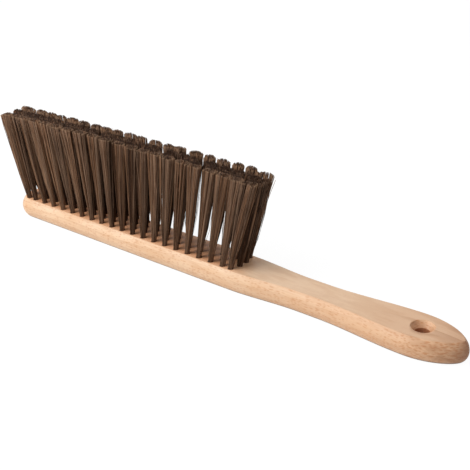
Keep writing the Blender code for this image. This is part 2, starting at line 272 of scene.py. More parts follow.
# Two sizes of ray flecks, and how rare each is. At the handle's nose they are less rare.
RAYS = (((230.0, 130.0, 950.0), 0.60), ((400.0, 260.0, 1300.0), 0.50))
RAY_NOSE_GAIN = 0.35
RAY_SOFTNESS = 0.15
# How near a fleck's middle it sets in and is full, in the width of its cell.
RAY_DASH = (0.55, 0.15)
FIBRE_HEIGHT = 0.7
FLECK_HEIGHT = -0.35
WOOD_BUMP = 0.12 * MM
WOOD_BUMP_SHARE = 0.25
# Where the wood's tones set in and where they are full.
WARM_X = (-0.05 * NOSE_END_X, 0.8 * NOSE_END_X)
NOSE_TONE_X = (NOSE_END_X - 60 * MM, NOSE_END_X - 5 * MM)
TAN_X = (NOSE_END_X - 78 * MM, NOSE_END_X - 42 * MM)
BROWN_X = (NOSE_END_X - 22 * MM, NOSE_END_X - 4 * MM)
# Where the painted contact shadow along the lowest edge sets in and is full.
LOW_EDGE_SHADOW_Z = (2.0 * MM, 0.7 * MM)
# Where the painted warm shade between the tufts sets in and is full.
TUFT_SHADE_X = (SHOULDER_X + 4 * MM, SHOULDER_X - 8 * MM)
TUFT_SHADE_Y = (14.0 * MM, 9.0 * MM)
# Where the painted bounce light past the tufts' feet sets in and is full.
FOOT_BOUNCE_LIGHT_X = (SHOULDER_X + 18 * MM, SHOULDER_X - 2 * MM)

# Noise on the strands and on the steel, in waves to the metre.
FILAMENT_SCALE = (900.0, 900.0, 60.0)
STEEL_SCALE = (40.0, 6000.0, 6000.0)
FILAMENT_SPECULAR = 0.07

# The floor, the sky and the lamp.
FLOOR_SIZE = 6.0
FLOOR_DROP = 0.05 * MM
FLOOR_GREY = 0.8
FLOOR_SEEN_GREY = 0.12
FLOOR_GLOW = 0.94
SKY_STRENGTH = 0.40
LAMP_PLACE = Vector((-0.72, -0.92, 1.02))
LAMP_TARGET = Vector((0.0, 0.0, 0.03))
LAMP_SIZE = 1.4
LAMP_POWER = 19.8

RNG = np.random.default_rng(7)


# Small helpers for modelling.


def deselect_all():
    bpy.ops.object.select_all(action="DESELECT")


def make_active(piece):
    deselect_all()
    piece.select_set(True)
    bpy.context.view_layer.objects.active = piece


def ring_at(radius, z, sides, centre=(0.0, 0.0)):
    """Points of a level circle."""
    turns = [math.tau * step / sides for step in range(sides)]
    return [
        Vector((centre[0] + radius * math.cos(turn), centre[1] + radius * math.sin(turn), z))
        for turn in turns
    ]


def loft(name, rings):
    """A closed body through level rings of equally many points: a circle, extruded ring by ring."""
    deselect_all()
    bpy.ops.mesh.primitive_circle_add(vertices=len(rings[0]), radius=MM, fill_type="NOTHING")
    piece = bpy.context.object
    piece.name = piece.data.name = name
    bpy.ops.object.mode_set(mode="EDIT")
    bpy.ops.mesh.select_mode(type="VERT")
    bpy.ops.mesh.select_all(action="SELECT")
    bm = bmesh.from_edit_mesh(piece.data)
    ring = list(bm.verts)
    for vert, point in zip(ring, rings[0]):
        vert.co = point
    bpy.ops.mesh.edge_face_add()
    for points in rings[1:]:
        bpy.ops.mesh.select_all(action="DESELECT")
        for vert in ring:
            vert.select = True
        bm.select_flush(True)
        for face in bm.faces:
            face.select = False
        for before, after in zip(ring, ring[1:] + ring[:1]):
            bm.edges.get((before, after)).select = True
        bpy.ops.mesh.extrude_edges_move()
        bm = bmesh.from_edit_mesh(piece.data)
        ring = [
            next(edge.other_vert(vert) for edge in vert.link_edges if edge.other_vert(vert).select)
            for vert in ring
        ]
        for vert, point in zip(ring, points):
            vert.co = point
    bpy.ops.mesh.edge_face_add()
    bpy.ops.mesh.select_all(action="SELECT")
    bpy.ops.mesh.normals_make_consistent(inside=False)
    bpy.ops.object.mode_set(mode="OBJECT")
    return piece


def apply_all(piece):
    make_active(piece)
    for modifier in list(piece.modifiers):
        bpy.ops.object.modifier_apply(modifier=modifier.name)


def cut(piece, cutter):
    """Cut one piece with another, which is then gone."""
    boolean = piece.modifiers.new("cut", "BOOLEAN")
    boolean.operation = "DIFFERENCE"
    boolean.solver = "EXACT"
    boolean.object = cutter
    apply_all(piece)
    bpy.data.objects.remove(cutter, do_unlink=True)


# The wooden stock.


def ease(share):
    return share * share * (3 - 2 * share)


def mix(start, end, share):
    return start + (end - start) * share


def side_points(inset):
    """Points (x, half width) along one side of the stock, pulled in by the inset."""
    block = BLOCK_HALF - inset
    neck = NECK_HALF - inset
    grip = GRIP_HALF - inset
    end = BLOCK_END_REACH - inset
    points = []
    for step in range(END_STEPS + 1):
        angle = math.pi / 2 * step / END_STEPS
        points.append((BLOCK_END_X + inset + end * (1 - math.cos(angle)), block * math.sin(angle)))
    stretches = (
        (points[-1][0], SHOULDER_X, block, block, BLOCK_STEPS),
        (SHOULDER_X, NECK_START_X, block, neck, BLEND_STEPS),
        (NECK_START_X, NECK_END_X, neck, neck, NECK_STEPS),
        (NECK_END_X, GRIP_X, neck, grip, BLEND_STEPS),
    )
    for start_x, end_x, start, stop, steps in stretches:
        for step in range(1, steps + 1):
            share = step / steps
            points.append((mix(start_x, end_x, share), mix(start, stop, ease(share))))
    # The nose is one curve from the grip's widest place to the stock's end.
    reach = NOSE_END_X - inset - GRIP_X
    for step in range(1, NOSE_STEPS + 1):
        share = step / NOSE_STEPS
        rest = 1 - share
        along = 3 * share * rest**2 * NOSE_SIDE_SHARE + 3 * share**2 * rest + share**3
        across = rest**3 + 3 * share * rest**2 + 3 * share**2 * rest * NOSE_FRONT_SHARE
        points.append((GRIP_X + reach * along, grip * across))
    return points


def stock_ring(inset, z):
    side = side_points(inset)
    near = [Vector((x, -half, z)) for x, half in side]
    far = [Vector((x, half, z)) for x, half in reversed(side[1:-1])]
    return near + far


def bent(start, corner, end, share):
    """A point on the smooth curve from start to end that bends round the corner."""
    return tuple(
        mix(mix(first, middle, share), mix(middle, last, share), share)
        for first, middle, last in zip(start, corner, end)
    )


def side_profile():
    """Insets and heights up the lower half of the stock's side.

    The side is an arc, and the corner where it meets the flat back is a small round.
    """
    middle = STOCK_TOP / 2
    radius = (middle**2 + SIDE_BULGE**2) / (2 * SIDE_BULGE)
    lowest = math.asin(middle / radius) - CORNER_ROUND / radius
    arc = []
    for step in range(SIDE_STEPS + 1):
        angle = lowest * (1 - step / SIDE_STEPS)
        arc.append((radius * (1 - math.cos(angle)), middle - radius * math.sin(angle)))
    flat = (SIDE_BULGE + CORNER_ROUND, 0.0)
    corner = (SIDE_BULGE, 0.0)
    return [bent(flat, corner, arc[0], step / CORNER_STEPS) for step in range(CORNER_STEPS)] + arc


def stock_blank():
    """The stock with its rounded sides, before its holes."""
    lower = side_profile()
    rings = [stock_ring(inset, z) for inset, z in lower]
    rings += [stock_ring(inset, STOCK_TOP - z) for inset, z in reversed(lower[:-1])]
    return loft("beech_stock", rings)


def hang_hole_cutter():
    """A turned cutter whose flanks bend gently into the wood's faces and into the bore."""
    slope = (HANG_RIM - HANG_BORE) / HANG_SINK_DEPTH
    unit = HANG_RIM_ROUND
    profile = [(HANG_RIM + out * unit, up * unit) for out, up in HANG_RIM_SHARES]
    radius, height = profile[-1]
    profile.append((radius - HANG_FLANK_SHARE * unit, height - HANG_FLANK_SHARE * unit / slope))
    profile += [(HANG_BORE + out * unit, up * unit - HANG_SINK_DEPTH) for out, up in HANG_BORE_SHARES]
    centre = (HANG_X, 0.0)
    lower = [ring_at(radius, -height, HANG_SIDES, centre) for radius, height in profile]
    upper = [ring_at(radius, STOCK_TOP + height, HANG_SIDES, centre) for radius, height in profile]
    return loft("hang_hole_cutter", lower + upper[::-1])


def closing_x(side, row):
    """Where the tuft that closes a row stands, at the block's end (-1) or the handle (1)."""
    share = OUTER_CLOSING_SHARE if row in OUTER_ROWS else INNER_CLOSING_SHARE
    return PATTERN_X + side * (HALF_PATTERN + share * PITCH)


def fan_x(x, row):
    """Where a tuft's tips stand: the lean grows evenly to the handle and levels off at the end."""
    share = (x - PATTERN_X) / HALF_PATTERN
    if share > 0:
        return x + LAST_RANK_LEANS[row] * share
    return x + FIRST_RANK_LEANS[row] * math.sin(math.pi / 2 * share)


def tuft_ranks():
    """Ranks of tufts, each a list of (root, tip, row), from the block's end on.

    The trim is lower at both ends, but the far row keeps its height toward the handle.
    """

    def place(x, row, tip_x):
        share = (x - PATTERN_X) / HALF_PATTERN
        tip_z = TRIM_TOP
        if share < 0 or row < ROWS - 1:
            tip_z -= TRIM_END_DROP * share**2
        if row not in OUTER_ROWS:
            tip_z -= INNER_ROW_DROP
        return Vector((x, ROWS_Y[row], STOCK_TOP)), Vector((tip_x, TIP_ROWS_Y[row], tip_z)), row

    def closing_place(side, row):
        step = LAST_CLOSING_STEPS[row] if side > 0 else FIRST_CLOSING_STEP
        tip_x = fan_x(PATTERN_X + side * HALF_PATTERN, row) + side * step
        return place(closing_x(side, row), row, tip_x)

    def closing_rank(side):
        return [closing_place(side, row) for row in range(ROWS)]

    ranks = [closing_rank(-1)]
    for rank in range(RANKS):
        places = []
        for row in range(ROWS):
            staggered = row % 2
            if staggered and rank == RANKS - 1:
                continue
            x = FIRST_RANK_X + PITCH * (rank + staggered * STAGGER_SHARE)
            places.append(place(x, row, fan_x(x, row)))
        ranks.append(places)
    ranks.append(closing_rank(1))
    for number, places in enumerate(ranks, start=1):
        for _, tip, row in places:
            tip.x += TIP_SHIFTS.get((row, number), 0.0)
            tip.z += TIP_LIFTS.get((row, number), 0.0)
    return ranks


def tuft_hole_cutters(ranks):
    """One drilled hole with a broken edge, copied to every tuft's place and joined."""
    profile = [
        (HOLE_RADIUS, STOCK_TOP - HOLE_DEPTH),
        (HOLE_RADIUS, STOCK_TOP - HOLE_CHAMFER),
        (HOLE_RADIUS + 2 * HOLE_CHAMFER, STOCK_TOP + HOLE_CHAMFER),
    ]
    first = loft("tuft_hole_cutter", [ring_at(radius, z, HOLE_SIDES) for radius, z in profile])
    drills = []
    for root, _, _ in (place for rank in ranks for place in rank):
        drill = first.copy()
        drill.data = first.data.copy()
        bpy.context.scene.collection.objects.link(drill)
        for vert in drill.data.vertices:
            vert.co += Vector((root.x, root.y, 0.0))
        drills.append(drill)
    bpy.data.objects.remove(first, do_unlink=True)
    deselect_all()
    for drill in drills:
        drill.select_set(True)
    bpy.context.view_layer.objects.active = drills[0]
    bpy.ops.object.join()
    return bpy.context.object


def store(mesh, label, domain, values):
    """Store a value at each point or face, for a material to read."""
    attribute = mesh.attributes.new(label, "FLOAT", domain)
    attribute.data.foreach_set("value", np.asarray(values, dtype=np.float32))


def mark_level(mesh):
    """Store which faces are the stock's flat ones, where the rays show as soft patches and painted
    light makes the wood paler.
    """
    store(mesh, "level", "FACE", [abs(face.normal.z) > LEVEL_NORMAL for face in mesh.polygons])


def mark_grain_ends_and_shade(mesh):
    """Store how far each point of the surface cuts across the grain, for the wood to darken, partly
    as end grain and partly as painted shade.
    """
    store(mesh, "end_grain_and_shade", "POINT", [abs(vert.normal.x) for vert in mesh.vertices])


def mark_bore(mesh):
    """Store where the hang hole's bore is, darker as unsanded wood and with painted shade, and
    fainter, the edges at its ends.
    """
    shares = []
    for vert in mesh.vertices:
        depth = min(vert.co.z, STOCK_TOP - vert.co.z)
        if math.hypot(vert.co.x - HANG_X, vert.co.y) >= HANG_BORE + HANG_RIM_ROUND:
            shares.append(0.0)
        else:
            shares.append(1.0 if depth > HANG_SINK_DEPTH else BORE_EDGE_SHARE)
    store(mesh, "bore", "POINT", shares)


def make_stock(ranks, wood):
    stock = stock_blank()
    mark_grain_ends_and_shade(stock.data)
    cut(stock, hang_hole_cutter())
    cut(stock, tuft_hole_cutters(ranks))
    mark_bore(stock.data)
    mark_level(stock.data)
    stock.data.materials.clear()
    stock.data.materials.append(wood)
    make_active(stock)
    bpy.ops.object.shade_smooth_by_angle(angle=SMOOTH_ANGLE)
    weighted = stock.modifiers.new("flat_faces_first", "WEIGHTED_NORMAL")
    weighted.keep_sharp = True
    weighted.weight = FLAT_FACE_WEIGHT
    apply_all(stock)
    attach(stock, "root")
    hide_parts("stock")


# The bristles.


def strand_form():
    """One strand as arrays of points and four-sided faces.

    Its radius is 1, and its height is 0 at the wood, 1 at its cut end and -1 at its fold.
    """
    rings = [ring_at(1.0, share, STRAND_SIDES) for share in (-1.0, *STRAND_RING_SHARES)]
    piece = loft("strand_form", rings)
    mesh = piece.data
    points = np.array([vert.co[:] for vert in mesh.vertices])
    faces = np.array([face.vertices[:] for face in mesh.polygons])
    level = np.array([abs(face.normal.z) > LEVEL_NORMAL for face in mesh.polygons])
    bpy.data.objects.remove(piece, do_unlink=True)
    return points, faces, level


def disc_points(count):
    """Points spread evenly over a unit disc, in a sunflower's order, a little shaken."""
    order = np.arange(count) + 0.5
    radius = np.sqrt(order / count)
    angle = order * GOLDEN_ANGLE + RNG.uniform(0, math.tau)
    points = np.stack([radius * np.cos(angle), radius * np.sin(angle)], 1)
    return points + RNG.normal(0, DISC_SHAKE_SHARE, points.shape)


def squared(points, square_share):
    """Disc points moved part of the way to a square, as tufts that press on each other are."""
    reach = np.linalg.norm(points, axis=1)
    widest = np.abs(points).max(axis=1)
    return points * ((reach / np.maximum(widest, SMALLEST)) ** square_share)[:, None]


def strand_ends(gathered, number, tip, row):
    """Where a tuft's strands end, seen from above, and which of them stray."""
    half = (HEAD_HALF_LENGTHS[row], HEAD_HALF_WIDTH) * RNG.normal(1.0, HEAD_SIZE_SPREAD, 2)
    half[0] *= CLOSING_TIMES[row] if number in (1, LAST_RANK) else HEAD_TIMES.get((row, number), 1.0)
    turn = RNG.normal(0, HEAD_TURN_SPREAD)
    turned = np.array([[math.cos(turn), -math.sin(turn)], [math.sin(turn), math.cos(turn)]])
    shake = RNG.normal(0, HEAD_SHAKES[row], 2) * HEAD_SHAKE_SHARES
    ends = np.array(tip[:2]) + shake + (gathered @ turned.T) * half
    ends += RNG.normal(0, TIP_SHAKE, ends.shape)
    stray = RNG.random(STRANDS) < (HANDLE_STRAY_SHARE if number == LAST_RANK else STRAY_SHARE)
    ends += stray[:, None] * RNG.normal(0, STRAY_REACH, ends.shape)
    return ends, stray


def strand_tops(ends, stray, area_share, lock, number, tip, row):
    """The heights at which a tuft's strands are cut."""
    drop = CROWNS[row] * area_share**CROWN_POWER + np.abs(RNG.normal(0, RAGGED[row], STRANDS))
    drop += np.abs(RNG.normal(0, RAGGED[row], LOCKS))[lock]
    if number == 1:
        drop += END_TIP_SLOPES[row] * np.clip(tip.x - ends[:, 0], 0, None)
    return tip.z - drop - stray * RNG.uniform(0, STRAY_DROP, STRANDS)


def strand_bows(stray, lock, number, row):
    """How far a tuft's strands bow out on their way up."""
    bows = RNG.normal(0, STRAND_BOW, (STRANDS, 2)) * (1 + STRAY_MORE_BOW * stray)[:, None]
    bows += RNG.normal(0, STRAND_BOW, (LOCKS, 2))[lock]
    if number == LAST_RANK:
        bows *= HANDLE_BOW_TIMES[row]
    if number == 1:
        bows *= END_BOW_TIMES[row]
    return bows


def strand_colours(form, area_share, lock, root, row):
    """The values at all points of a tuft's strands that the filament's material reads."""
    tone = RNG.normal(0, STRAND_TONE_SPREAD, STRANDS)
    tone += RNG.normal(0, LOCK_TONE_SPREAD, LOCKS)[lock]
    tone += RNG.normal(0, TUFT_TONE_SPREAD)
    if root.x > CALM_FROM_X:
        tone *= CALM_TONE_TIMES
    # Painted shade and light: darker inner rows and tuft insides, lighter outer rows.
    tone += ROW_LIGHT_AND_SHADE_TONES[row] + INSIDE_SHADE_TONE * np.clip(1 - area_share / INSIDE_SHADE_AREA_SHARE, 0, 1)
    warmth = RNG.normal(0, STRAND_WARMTH_SPREAD, STRANDS)
    warmth += RNG.normal(0, LOCK_WARMTH_SPREAD, LOCKS)[lock]
    along = np.tile(form[:, 2], STRANDS)
    # A painted highlight on the cut ends of the outer rows' outer strands.
    rim = (area_share > RIM_HIGHLIGHT_AREA_SHARE) * (row in OUTER_ROWS)
    return {
        "tone": np.repeat(np.clip(TONE_MIDDLE + tone, 0, 1), len(form)),
        "warmth": np.repeat(np.clip(WARMTH_MIDDLE + warmth, 0, 1), len(form)),
        "along": along,
        "rim": np.repeat(rim, len(form)) * (along >= 1),
    }


def flare_power(number, row):
    if number == 1:
        return FIRST_CLOSING_POWERS[row]
    if number == LAST_RANK:
        return LAST_CLOSING_POWERS[row]
    return FLARE_POWERS[row]


def tuft_points(form, number, root, tip, row):
    """All the points of one tuft's strands, with the values that colour them."""
    spread = disc_points(STRANDS)
    centres = disc_points(LOCKS) * LOCK_DISC_SHARE
    lock = np.argmin(np.linalg.norm(spread[:, None] - centres[None], axis=2), axis=1)
    gathered = squared(spread + (centres[lock] - spread) * LOCK_PULL_SHARE, HEAD_SQUARE_SHARES[row])
    area_share = (spread**2).sum(1)
    ends, stray = strand_ends(gathered, number, tip, row)
    tops = strand_tops(ends, stray, area_share, lock, number, tip, row)
    bows = strand_bows(stray, lock, number, row)

    roots = np.array(root[:2]) + spread * (END_ROOT_RADIUS if number == 1 else ROOT_RADIUS)
    share = np.clip(form[:, 2], 0, 1)[None, :, None]
    below = np.clip(-form[:, 2], 0, 1)[None, :]
    middle = roots[:, None] + (ends - roots)[:, None] * share ** flare_power(number, row)
    middle = middle + bows[:, None] * np.sin(math.pi * share**BOW_POWER)
    thickness = RNG.uniform(THINNEST_SHARE, THICKEST_SHARE, (STRANDS, 1, 1))
    across = form[None, :, :2] * STRAND_RADIUS * thickness
    height = STOCK_TOP + (tops[:, None] - STOCK_TOP) * share[..., 0] - (STOCK_TOP - FOLD_Z) * below
    points = np.concatenate([middle + across, height[..., None]], axis=2)
    return points.reshape(-1, 3), strand_colours(form, area_share, lock, root, row)


def bristle_mesh(name, strand, number, places):
    """A mesh of every strand in one rank."""
    form, faces, level = strand
    tufts = [tuft_points(form, number, root, tip, row) for root, tip, row in places]
    points = np.concatenate([tuft[0] for tuft in tufts])
    points[:, 0] = np.clip(points[:, 0], CAD_LOW.x, CAD_HIGH.x)
    strands = len(places) * STRANDS
    starts = np.arange(strands)[:, None, None] * len(form)
    corners = (faces[None] + starts).reshape(-1)
    loop_starts = np.arange(0, len(corners), faces.shape[1], dtype=np.int32)
    mesh = bpy.data.meshes.new(name)
    mesh.vertices.add(len(points))
    mesh.vertices.foreach_set("co", points.reshape(-1).astype(np.float32))
    mesh.loops.add(len(corners))
    mesh.loops.foreach_set("vertex_index", corners.astype(np.int32))
    mesh.polygons.add(len(loop_starts))
    mesh.polygons.foreach_set("loop_start", loop_starts)
    mesh.polygons.foreach_set("use_smooth", np.tile(~level, strands))
    mesh.update(calc_edges=True)
    for label in tufts[0][1]:
        store(mesh, label, "POINT", np.concatenate([colours[label] for _, colours in tufts]))
    store(mesh, "cut_end", "FACE", np.tile(level, strands))
    return mesh


def make_bristles(ranks, filament):
    strand = strand_form()
    for number, places in enumerate(ranks, start=1):
        name = f"bristles_rank_{number:02d}"
        mesh = bristle_mesh(name, strand, number, places)
        mesh.materials.append(filament)
        piece = bpy.data.objects.new(name, mesh)
        bpy.context.scene.collection.objects.link(piece)
        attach(piece, "root")
        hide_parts(f"tuft_rank_{number:02d}")


# Materials.


def new_group(name, inputs, outputs):
    """An empty shader node group. Inputs and outputs map names to socket types."""
    group = bpy.data.node_groups.new(name, "ShaderNodeTree")
    for in_out, sockets in (("INPUT", inputs), ("OUTPUT", outputs)):
        for label, kind in sockets.items():
            group.interface.new_socket(label, in_out=in_out, socket_type=kind)
    return group


class Nodes:
    """Short forms for adding and joining nodes in one tree."""

    def __init__(self, tree):
        self.tree = tree

    def add(self, kind, **settings):
        node = self.tree.nodes.new(kind)
        for key, value in settings.items():
            setattr(node, key, value)
        return node

    def link(self, source, target):
        self.tree.links.new(source, target)

    def put(self, target, value):
        if isinstance(value, bpy.types.NodeSocket):
            self.link(value, target)
        else:
            target.default_value = value

    def math(self, operation, first, second=0.0, third=0.0, clamp=False):
        node = self.add("ShaderNodeMath", operation=operation, use_clamp=clamp)
        self.put(node.inputs[0], first)
        self.put(node.inputs[1], second)
        self.put(node.inputs[2], third)
        return node.outputs[0]

    def times(self, first, second):
        return self.math("MULTIPLY", first, second)

    def stored(self, label):
        """A value that the mesh stores."""
        return self.add("ShaderNodeAttribute", attribute_name=label).outputs["Fac"]

    def place(self):
        """Where a point lies on its piece, which here is also its place in the frame."""
        return self.add("ShaderNodeTexCoord").outputs["Object"]

    def seen_directly(self):
        """1 for what the camera sees, also in a mirror or through glass, and 0 for the rest."""
        path = self.add("ShaderNodeLightPath").outputs
        direct = self.math("ADD", path["Is Camera Ray"], path["Is Glossy Ray"])
        return self.math("ADD", direct, path["Is Transmission Ray"], clamp=True)

    def scaled(self, vector, scale):
        node = self.add("ShaderNodeVectorMath", operation="MULTIPLY")
        self.link(vector, node.inputs[0])
        node.inputs[1].default_value = scale
        return node.outputs[0]

    def noise(self, place, scale, detail=2.0, roughness=0.5):
        """Noise that is stretched differently along, across and up."""
        node = self.add("ShaderNodeTexNoise")
        self.link(self.scaled(place, scale), node.inputs["Vector"])
        node.inputs["Scale"].default_value = 1.0
        node.inputs["Detail"].default_value = detail
        node.inputs["Roughness"].default_value = roughness
        return node.outputs["Fac"]

    def between(self, value, low, high, new_low=0.0, new_high=1.0):
        """A value that eases from the new low to the new high as the first one rises."""
        node = self.add("ShaderNodeMapRange", interpolation_type="SMOOTHSTEP")
        self.put(node.inputs["Value"], value)
        self.put(node.inputs["From Min"], low)
        self.put(node.inputs["From Max"], high)
        self.put(node.inputs["To Min"], new_low)
        self.put(node.inputs["To Max"], new_high)
        return node.outputs["Result"]

    def blend(self, share, first, second):
        node = self.add("ShaderNodeMix", data_type="RGBA")
        self.put(node.inputs["Factor"], share)
        self.put(node.inputs["A"], first)
        self.put(node.inputs["B"], second)
        return node.outputs["Result"]


def rgb(red, green, blue):
    """A linear colour from the 0 to 255 values that a screen shows."""

    def linear(value):
        value /= 255
        return value / 12.92 if value <= 0.04045 else ((value + 0.055) / 1.055) ** 2.4

    return (linear(red), linear(green), linear(blue), 1.0)


def new_material(name):
    """A new material, the short forms for its nodes, and its Principled shader's inputs."""
    made = bpy.data.materials.new(name)
    made.use_nodes = True
    return made, Nodes(made.node_tree), made.node_tree.nodes["Principled BSDF"].inputs


# The colours, from what a screen shows.
BEECH = {
    "pale": rgb(245, 209, 173),
    "rosy": rgb(237, 195, 155),
    "warm": rgb(227, 177, 135),
    "band": rgb(202, 150, 110),
    "fibre": rgb(206, 154, 112),
    "fleck": rgb(200, 128, 76),
    # The flat faces' paler colour is painted light.
    "face": rgb(250, 218, 186),
    "cloud": rgb(216, 170, 130),
    "streak": rgb(158, 108, 72),
    "patch": rgb(164, 112, 76),
    "tan": rgb(214, 160, 118),
    "brown": rgb(176, 126, 90),
    "end_grain_and_shade": rgb(146, 94, 60),
    "bore": rgb(148, 78, 32),
    "low_edge_shadow": rgb(116, 92, 74),
    "tuft_field_shade": rgb(218, 150, 106),
    "foot_bounce_light": rgb(255, 180, 126),
}
FILAMENT = {
    "cool_dark": rgb(60, 41, 30),
    "cool_light": rgb(174, 141, 116),
    "warm_dark": rgb(68, 42, 26),
    "warm_light": rgb(168, 124, 92),
    "root": rgb(52, 33, 22),
    "streak": rgb(54, 34, 22),
    "rim": rgb(184, 150, 118),
    "cut_end": rgb(44, 25, 11),
}
STEEL_DARK = rgb(168, 168, 170)
STEEL_LIGHT = rgb(206, 206, 208)


def wood_grain_group():
    """Beech: soft growth bands, fine pores along the grain, and short ray flecks."""
    group = new_group(
        "beech_grain",
        {"Vector": "NodeSocketVector", "Ray Density": "NodeSocketFloat"},
        dict.fromkeys(("Bands", "Fibres", "Flecks", "Mottle", "Height"), "NodeSocketFloat"),
    )
    n = Nodes(group)
    entry = n.add("NodeGroupInput")
    leave = n.add("NodeGroupOutput")
    place = entry.outputs["Vector"]

    drift = n.noise(place, GRAIN_DRIFT_SCALE)
    swing = n.add("ShaderNodeVectorMath", operation="MULTIPLY_ADD")
    n.link(drift, swing.inputs[0])
    swing.inputs[1].default_value = GRAIN_DRIFT
    n.link(place, swing.inputs[2])
    tilt = n.add("ShaderNodeVectorRotate", rotation_type="EULER_XYZ")
    n.link(swing.outputs[0], tilt.inputs["Vector"])
    tilt.inputs["Rotation"].default_value = GRAIN_TILT
    rings = n.add("ShaderNodeTexWave", wave_type="BANDS", bands_direction="Z", wave_profile="SAW")
    n.link(tilt.outputs[0], rings.inputs["Vector"])
    rings.inputs["Scale"].default_value = BAND_SCALE
    rings.inputs["Distortion"].default_value = 1.4
    rings.inputs["Detail"].default_value = 2.0
    rings.inputs["Detail Scale"].default_value = 0.6
    bands = n.between(rings.outputs["Fac"], 0.45, 1.0)

    fibres = n.noise(place, FIBRE_SCALE, detail=3.0, roughness=0.6)
    mottle = n.noise(place, MOTTLE_SCALE, detail=4.0, roughness=0.6)

    def rays(scale, least):
        """Short dashes on the stock's sides, which are broad soft patches on its faces."""
        cells = n.add("ShaderNodeTexVoronoi", feature="F1", distance="EUCLIDEAN")
        n.link(n.scaled(place, scale), cells.inputs["Vector"])
        cells.inputs["Scale"].default_value = 1.0
        cells.inputs["Randomness"].default_value = 1.0
        chance = n.add("ShaderNodeSeparateColor")
        n.link(cells.outputs["Color"], chance.inputs[0])
        dash = n.between(cells.outputs["Distance"], *RAY_DASH)
        least_here = n.math("MULTIPLY_ADD", entry.outputs["Ray Density"], -RAY_NOSE_GAIN, least)
        full_here = n.math("ADD", least_here, RAY_SOFTNESS)
        return n.times(dash, n.between(chance.outputs[0], least_here, full_here))

    flecks = n.math("MAXIMUM", *(rays(scale, least) for scale, least in RAYS))
    height = n.math("ADD", n.times(fibres, FIBRE_HEIGHT), n.times(flecks, FLECK_HEIGHT))
    for socket, source in zip(leave.inputs, (bands, fibres, flecks, mottle, height)):
        n.link(source, socket)
    return group


def beech_material():
    made, n, shader = new_material("beech")
    place = n.place()
    level = n.stored("level")
    split = n.add("ShaderNodeSeparateXYZ")
    n.link(place, split.inputs[0])
    along, across, up = split.outputs["X"], split.outputs["Y"], split.outputs["Z"]
    nose = n.between(along, *NOSE_TONE_X)
    grain = n.add("ShaderNodeGroup")
    grain.node_tree = wood_grain_group()
    n.link(place, grain.inputs["Vector"])
    n.link(nose, grain.inputs["Ray Density"])
    bands, fibres, flecks, mottle, height = grain.outputs

    def by_nose(elsewhere, at_nose):
        """A share that changes toward the handle's nose."""
        return n.between(nose, 0.0, 1.0, elsewhere, at_nose)

    def by_face(sides, faces):
        """A share for the rounded sides, and one for the flat faces."""
        return n.between(level, 0.0, 1.0, sides, faces)

    # The wood and its grain.
    base = n.blend(n.between(mottle, 0.35, 0.68), BEECH["pale"], BEECH["rosy"])
    base = n.blend(n.between(along, *WARM_X, 0.0, 0.60), base, BEECH["warm"])
    base = n.blend(n.times(bands, by_nose(0.22, 0.30)), base, BEECH["band"])
    base = n.blend(n.between(fibres, 0.42, 0.75, 0.0, 0.28), base, BEECH["fibre"])
    fleck = n.times(by_nose(0.42, 0.75), by_face(1.0, 0.30))
    base = n.blend(n.times(flecks, fleck), base, BEECH["fleck"])

    # The flat faces, which painted light makes paler, and which are browner toward the nose.
    base = n.blend(n.times(level, 0.58), base, BEECH["face"])
    cloud = n.between(mottle, 0.40, 0.62, 0.0, 0.30)
    base = n.blend(n.times(level, cloud), base, BEECH["cloud"])
    streak = n.times(nose, by_face(0.05, 0.55))
    base = n.blend(n.times(bands, streak), base, BEECH["streak"])
    patch = n.times(nose, by_face(0.45, 0.25))
    base = n.blend(n.times(n.between(mottle, 0.42, 0.66), patch), base, BEECH["patch"])
    base = n.blend(n.times(level, n.between(along, *TAN_X, 0.0, 0.34)), base, BEECH["tan"])
    base = n.blend(n.times(level, n.between(along, *BROWN_X, 0.0, 0.30)), base, BEECH["brown"])

    # End grain, darker partly as real end grain and partly as painted shade, the bore, the lowest
    # edge, and the face between the tufts and past them.
    base = n.blend(n.between(n.stored("end_grain_and_shade"), 0.25, 1.0, 0.0, 0.80), base, BEECH["end_grain_and_shade"])
    # The bore is darker as unsanded wood and with painted shade, as it gets little light.
    base = n.blend(n.times(n.stored("bore"), 0.76), base, BEECH["bore"])
    # A painted contact shadow darkens the lowest edge, where the stock meets the floor.
    base = n.blend(n.between(up, *LOW_EDGE_SHADOW_Z, 0.0, 0.75), base, BEECH["low_edge_shadow"])
    # Painted warm shade on the face between the tufts, where the bristles shade the wood and light
    # comes back off them.
    inside = n.between(n.math("ABSOLUTE", across), *TUFT_SHADE_Y)
    tuft_field_shade = n.times(inside, n.between(along, *TUFT_SHADE_X))
    base = n.blend(n.times(n.times(tuft_field_shade, level), 0.75), base, BEECH["tuft_field_shade"])
    # Painted bounce light: a warm tint on the face just past the tufts' feet.
    base = n.blend(n.times(level, n.between(along, *FOOT_BOUNCE_LIGHT_X, 0.0, 0.45)), base, BEECH["foot_bounce_light"])

    n.link(base, shader["Base Color"])
    n.link(n.between(fibres, 0.3, 0.8, 0.46, 0.62), shader["Roughness"])
    bump = n.add("ShaderNodeBump")
    bump.inputs["Strength"].default_value = WOOD_BUMP_SHARE
    bump.inputs["Distance"].default_value = WOOD_BUMP
    n.link(height, bump.inputs["Height"])
    n.link(bump.outputs["Normal"], shader["Normal"])
    return made


